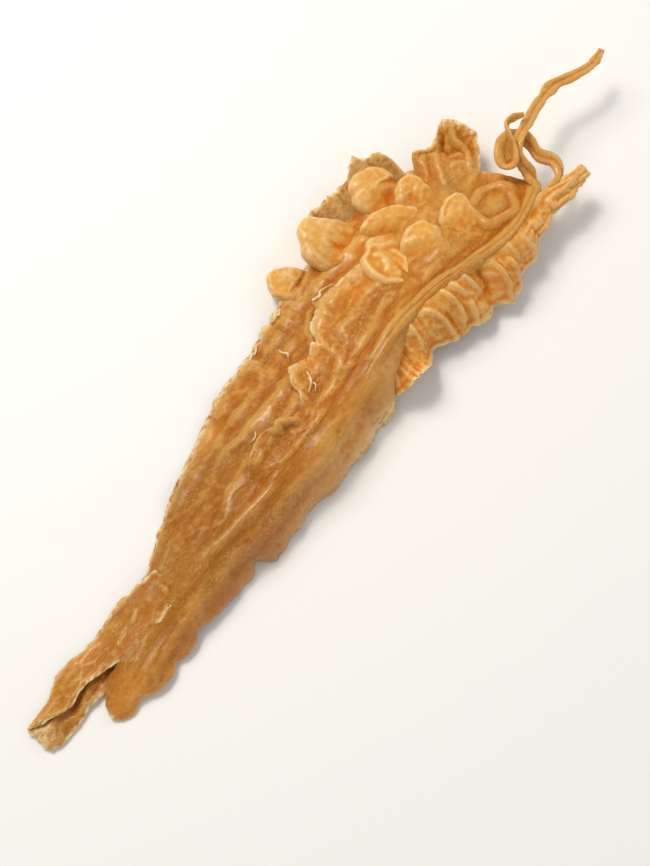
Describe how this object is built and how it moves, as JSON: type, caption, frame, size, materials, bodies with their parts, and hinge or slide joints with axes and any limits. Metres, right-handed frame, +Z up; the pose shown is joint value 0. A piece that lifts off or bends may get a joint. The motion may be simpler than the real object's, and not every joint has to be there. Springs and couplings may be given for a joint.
{
  "type": "dried fish maw",
  "caption": "Long tapering sheet of dried fish maw with a ridged spine, a ruffled frill, puffed pouches along one margin, a folded tail tongue and curled cords at its head.",
  "frame": {"origin": "centre of the bounding box on the surface that the maw lies on", "axes": "+X from the tail tongue to the head horns, +Y towards the margin with the pouches, +Z up"},
  "size_m": [0.3954, 0.0984, 0.0356],
  "materials": {
    "dried_membrane": "half glossy dried amber membrane"
  },
  "bodies": {
    "root": {"maw": "dried_membrane"}
  },
  "joints": []
}
